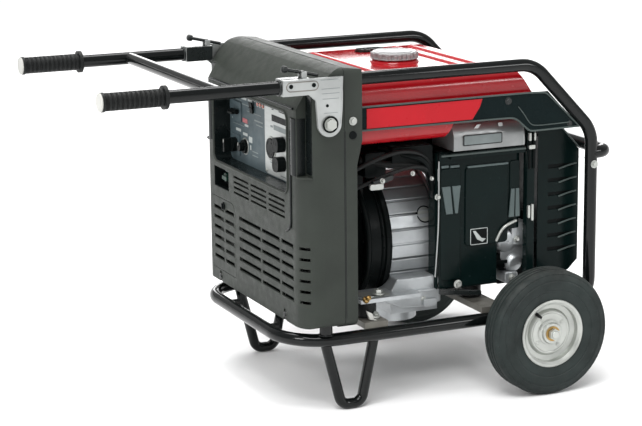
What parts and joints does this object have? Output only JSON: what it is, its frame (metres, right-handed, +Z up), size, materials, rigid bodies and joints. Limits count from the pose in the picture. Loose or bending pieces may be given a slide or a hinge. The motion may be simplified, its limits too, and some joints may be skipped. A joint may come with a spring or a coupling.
{
  "type": "portable generator",
  "caption": "Petrol inverter generator in a tubular frame, with a control panel, fuel tank, two wheels and folding push handles",
  "frame": {"origin": "centre of the overall footprint, on the ground under the wheels and legs", "axes": "+Z up, -X towards the control panel and handles, +X towards the wheels, -Y the engine side"},
  "size_m": [1.084, 0.668, 0.6918],
  "materials": {
    "frame_paint": "gloss black paint",
    "cover_plastic": "fine texture, olive grey",
    "tank_paint": "gloss red paint",
    "panel_paint": "slate blue-grey",
    "plate_white": "satin silver-white",
    "black_plastic": "satin black",
    "rubber_black": "matt",
    "tyre_rubber": "dusty black",
    "zinc_steel": "zinc plated",
    "cast_aluminium": "as cast",
    "bright_alu": "satin",
    "bronze": "sintered bronze",
    "white_plastic": "pale",
    "grey_plastic": "grey",
    "lens": "dark clear",
    "lamp": "coloured lens",
    "green_plastic": "dark green",
    "black_steel": "satin black paint"
  },
  "bodies": {
    "generator": {"side_frame_left": "frame_paint", "side_frame_right": "frame_paint", "front_rail": "frame_paint", "rear_bar": "frame_paint", "leg_left": "frame_paint", "leg_right": "frame_paint", "crossmembers": "black_steel", "engine_mounts": "rubber_black", "axle": "zinc_steel", "axle_nuts": "zinc_steel", "pivot_bolts": "zinc_steel", "flange_bolts": "zinc_steel", "front_cover": "cover_plastic", "rear_shell": "cover_plastic", "control_panel": "panel_paint", "outlet_plate": "plate_white", "locking_outlet": "black_plastic", "duplex_outlet": "black_plastic", "indicator_lights": "lamp", "fuel_tank": "tank_paint", "fuel_gauge": "lens", "side_panel_left": "black_steel", "side_panel_right": "black_steel", "heat_cover": "cast_aluminium", "engine_shield": "black_plastic", "rear_cover": "black_plastic", "alternator_casing": "cast_aluminium", "fan_cover": "black_plastic", "engine_block": "cast_aluminium", "muffler": "zinc_steel", "inverter_unit": "cast_aluminium", "battery": "black_plastic"},
    "wheel_left": {"tyre_left": "tyre_rubber", "rim_left": "zinc_steel", "hub_bush_left": "bronze"},
    "wheel_right": {"tyre_right": "tyre_rubber", "rim_right": "zinc_steel", "hub_bush_right": "bronze"},
    "handle": {"handle_tube_left": "frame_paint", "handle_tube_right": "frame_paint", "handle_crossbar": "frame_paint", "grip_left": "rubber_black", "grip_right": "rubber_black", "grip_caps": "white_plastic", "handle_bracket_left": "bright_alu", "handle_bracket_right": "bright_alu"},
    "lock_lever_left": {"lock_lever_left": "black_steel"},
    "lock_lever_right": {"lock_lever_right": "black_steel"},
    "engine_switch": {"engine_switch": "black_plastic"},
    "selector_knob": {"selector_knob": "black_plastic"},
    "breaker_toggle": {"breaker_toggle": "black_plastic"},
    "eco_switch": {"eco_switch": "black_plastic"},
    "fuel_valve_lever": {"fuel_valve_lever": "green_plastic"},
    "access_door": {"access_door": "cover_plastic"},
    "door_latch": {"door_latch": "black_plastic"},
    "cap_core": {"cap_core": "black_plastic"},
    "fuel_cap": {"fuel_cap": "grey_plastic"},
    "oil_cap": {"oil_cap": "black_plastic"},
    "rotor": {"rotor_shaft": "zinc_steel", "cooling_fan": "black_plastic"}
  },
  "joints": [
    {"name": "handle_fold", "type": "hinge", "parent": "generator", "child": "handle", "pos_m": [-0.098, 0, 0.5785], "axis": [0, -1, 0], "range_deg": [0, 85]},
    {"name": "lock_lever_left_lift", "type": "hinge", "parent": "handle", "child": "lock_lever_left", "pos_m": [-0.143, 0.246, 0.675], "axis": [0, 1, 0], "range_deg": [0, 13], "stiffness_Nm_per_rad": 0.4, "springref_deg": -11.46},
    {"name": "lock_lever_right_lift", "type": "hinge", "parent": "handle", "child": "lock_lever_right", "pos_m": [-0.143, -0.246, 0.675], "axis": [0, 1, 0], "range_deg": [0, 13], "stiffness_Nm_per_rad": 0.4, "springref_deg": -11.46},
    {"name": "wheel_left_spin", "type": "hinge", "parent": "generator", "child": "wheel_left", "pos_m": [0.36, 0.292, 0.127], "axis": [0, 1, 0], "continuous": true},
    {"name": "wheel_right_spin", "type": "hinge", "parent": "generator", "child": "wheel_right", "pos_m": [0.36, -0.292, 0.127], "axis": [0, 1, 0], "continuous": true},
    {"name": "rotor_spin", "type": "hinge", "parent": "generator", "child": "rotor", "pos_m": [0.137, -0.02, 0.3], "axis": [1, 0, 0], "continuous": true},
    {"name": "fuel_cap_lift", "type": "slide", "parent": "generator", "child": "cap_core", "axis": [0, 0, 1], "range_m": [0, 0.03]},
    {"name": "fuel_cap_twist", "type": "hinge", "parent": "cap_core", "child": "fuel_cap", "pos_m": [0.17, 0, 0.655], "axis": [0, 0, -1], "range_deg": [0, 90]},
    {"name": "engine_switch_turn", "type": "hinge", "parent": "generator", "child": "engine_switch", "pos_m": [-0.114, 0.159, 0.471], "axis": [-1, 0, 0], "range_deg": [0, 70]},
    {"name": "selector_turn", "type": "hinge", "parent": "generator", "child": "selector_knob", "pos_m": [-0.114, 0.112, 0.474], "axis": [-1, 0, 0], "range_deg": [0, 60]},
    {"name": "breaker_flip", "type": "hinge", "parent": "generator", "child": "breaker_toggle", "pos_m": [-0.1224, 0.15, 0.542], "axis": [0, 1, 0], "range_deg": [0, 28]},
    {"name": "eco_rock", "type": "hinge", "parent": "generator", "child": "eco_switch", "pos_m": [-0.1173, 0.07, 0.56], "axis": [0, 1, 0], "range_deg": [0, 14]},
    {"name": "fuel_valve_turn", "type": "hinge", "parent": "generator", "child": "fuel_valve_lever", "pos_m": [-0.13, 0.165, 0.402], "axis": [-1, 0, 0], "range_deg": [0, 90]},
    {"name": "access_door_swing", "type": "hinge", "parent": "generator", "child": "access_door", "pos_m": [-0.1473, 0.209, 0.282], "axis": [0, 0, -1], "range_deg": [0, 100]},
    {"name": "door_latch_turn", "type": "hinge", "parent": "access_door", "child": "door_latch", "pos_m": [-0.15, 0.15, 0.345], "axis": [-1, 0, 0], "range_deg": [0, 90]},
    {"name": "oil_cap_pull", "type": "slide", "parent": "generator", "child": "oil_cap", "axis": [0, -1, 0], "range_m": [0, 0.065]}
  ]
}
